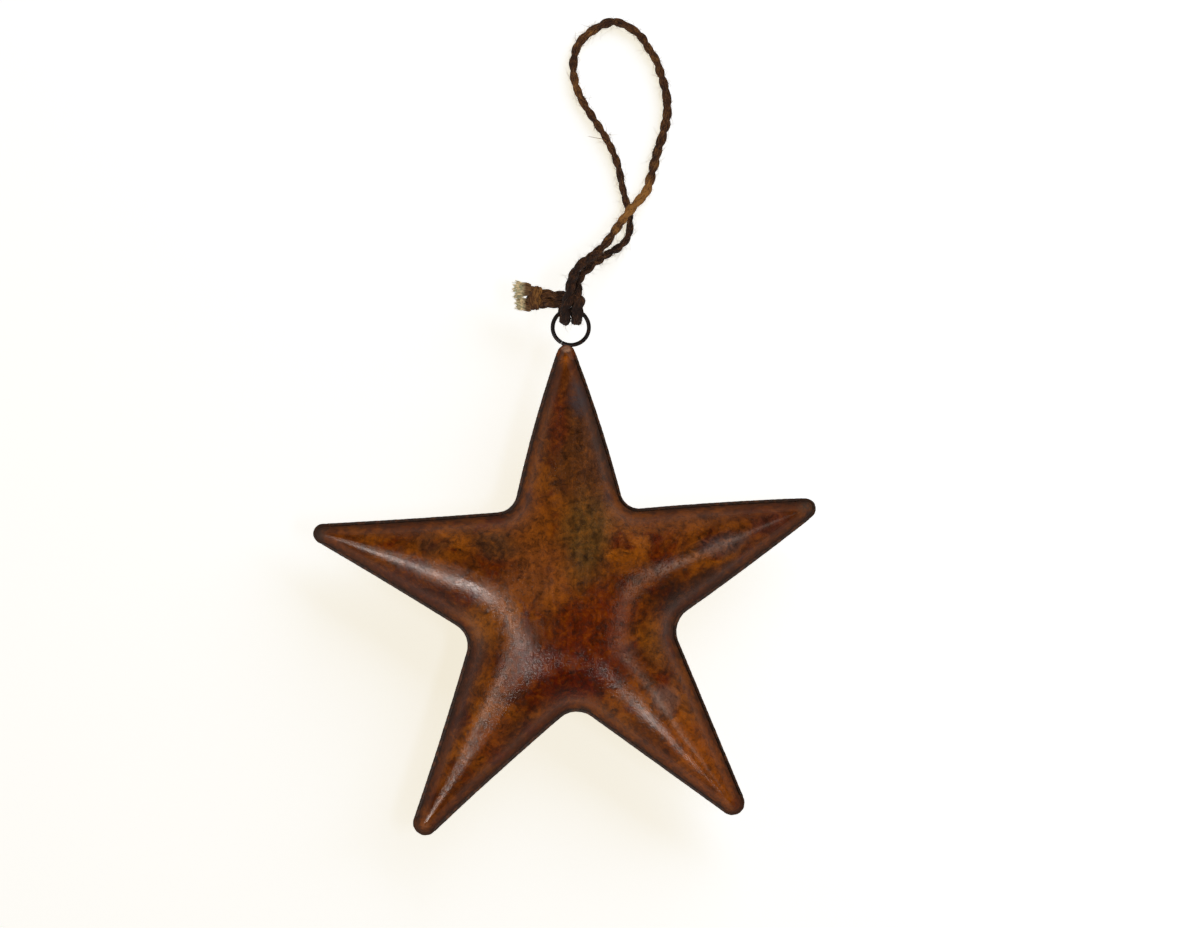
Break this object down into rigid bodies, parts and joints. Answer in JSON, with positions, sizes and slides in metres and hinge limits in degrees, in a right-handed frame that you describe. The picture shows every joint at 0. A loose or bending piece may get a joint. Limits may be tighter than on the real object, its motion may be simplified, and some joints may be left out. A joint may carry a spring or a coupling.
{
  "type": "hanging star ornament",
  "caption": "Hollow puffed star of thin rusted sheet steel with a wire ring at its top point and a hitched twine loop to hang it by.",
  "frame": {"origin": "on the surface that the star lies on, at the middle of the small flat at the back, under the star's centre", "axes": "+Y from the star's centre towards the ring, +X to the right as the front is seen, +Z out of the front, up from the surface"},
  "size_m": [0.1206, 0.1976, 0.0228],
  "materials": {
    "rusted_sheet": "rusted all over, waxed to a satin shine",
    "weld_metal": "dark rough weld metal, lightly rusted",
    "ring_wire": "dark oxidised wire",
    "twine": "two-ply jute twine, dark brown and hairy",
    "frayed_fibre": "pale loose straw-like fibre"
  },
  "bodies": {
    "star": {"front_shell": "rusted_sheet", "back_shell": "rusted_sheet", "seam_weld_upper_left": "weld_metal", "seam_weld_left": "weld_metal", "seam_weld_bottom": "weld_metal", "seam_weld_right": "weld_metal", "seam_weld_upper_right": "weld_metal", "point_weld_left": "weld_metal", "point_weld_lower_left": "weld_metal", "point_weld_lower_right": "weld_metal", "point_weld_right": "weld_metal", "ring_braze": "weld_metal", "hanger_ring": "ring_wire"},
    "twine": {"twine_loop": "twine", "hitch_left_strand": "twine", "hitch_right_strand": "twine", "stopper_knot": "twine", "frayed_end_upper": "frayed_fibre", "frayed_end_lower": "frayed_fibre"}
  },
  "joints": [
    {"name": "twine_swing", "type": "hinge", "parent": "star", "child": "twine", "pos_m": [-0.00011, 0.0706, 0.01128], "axis": [1, 0, 0], "range_deg": [-85, 150]}
  ]
}
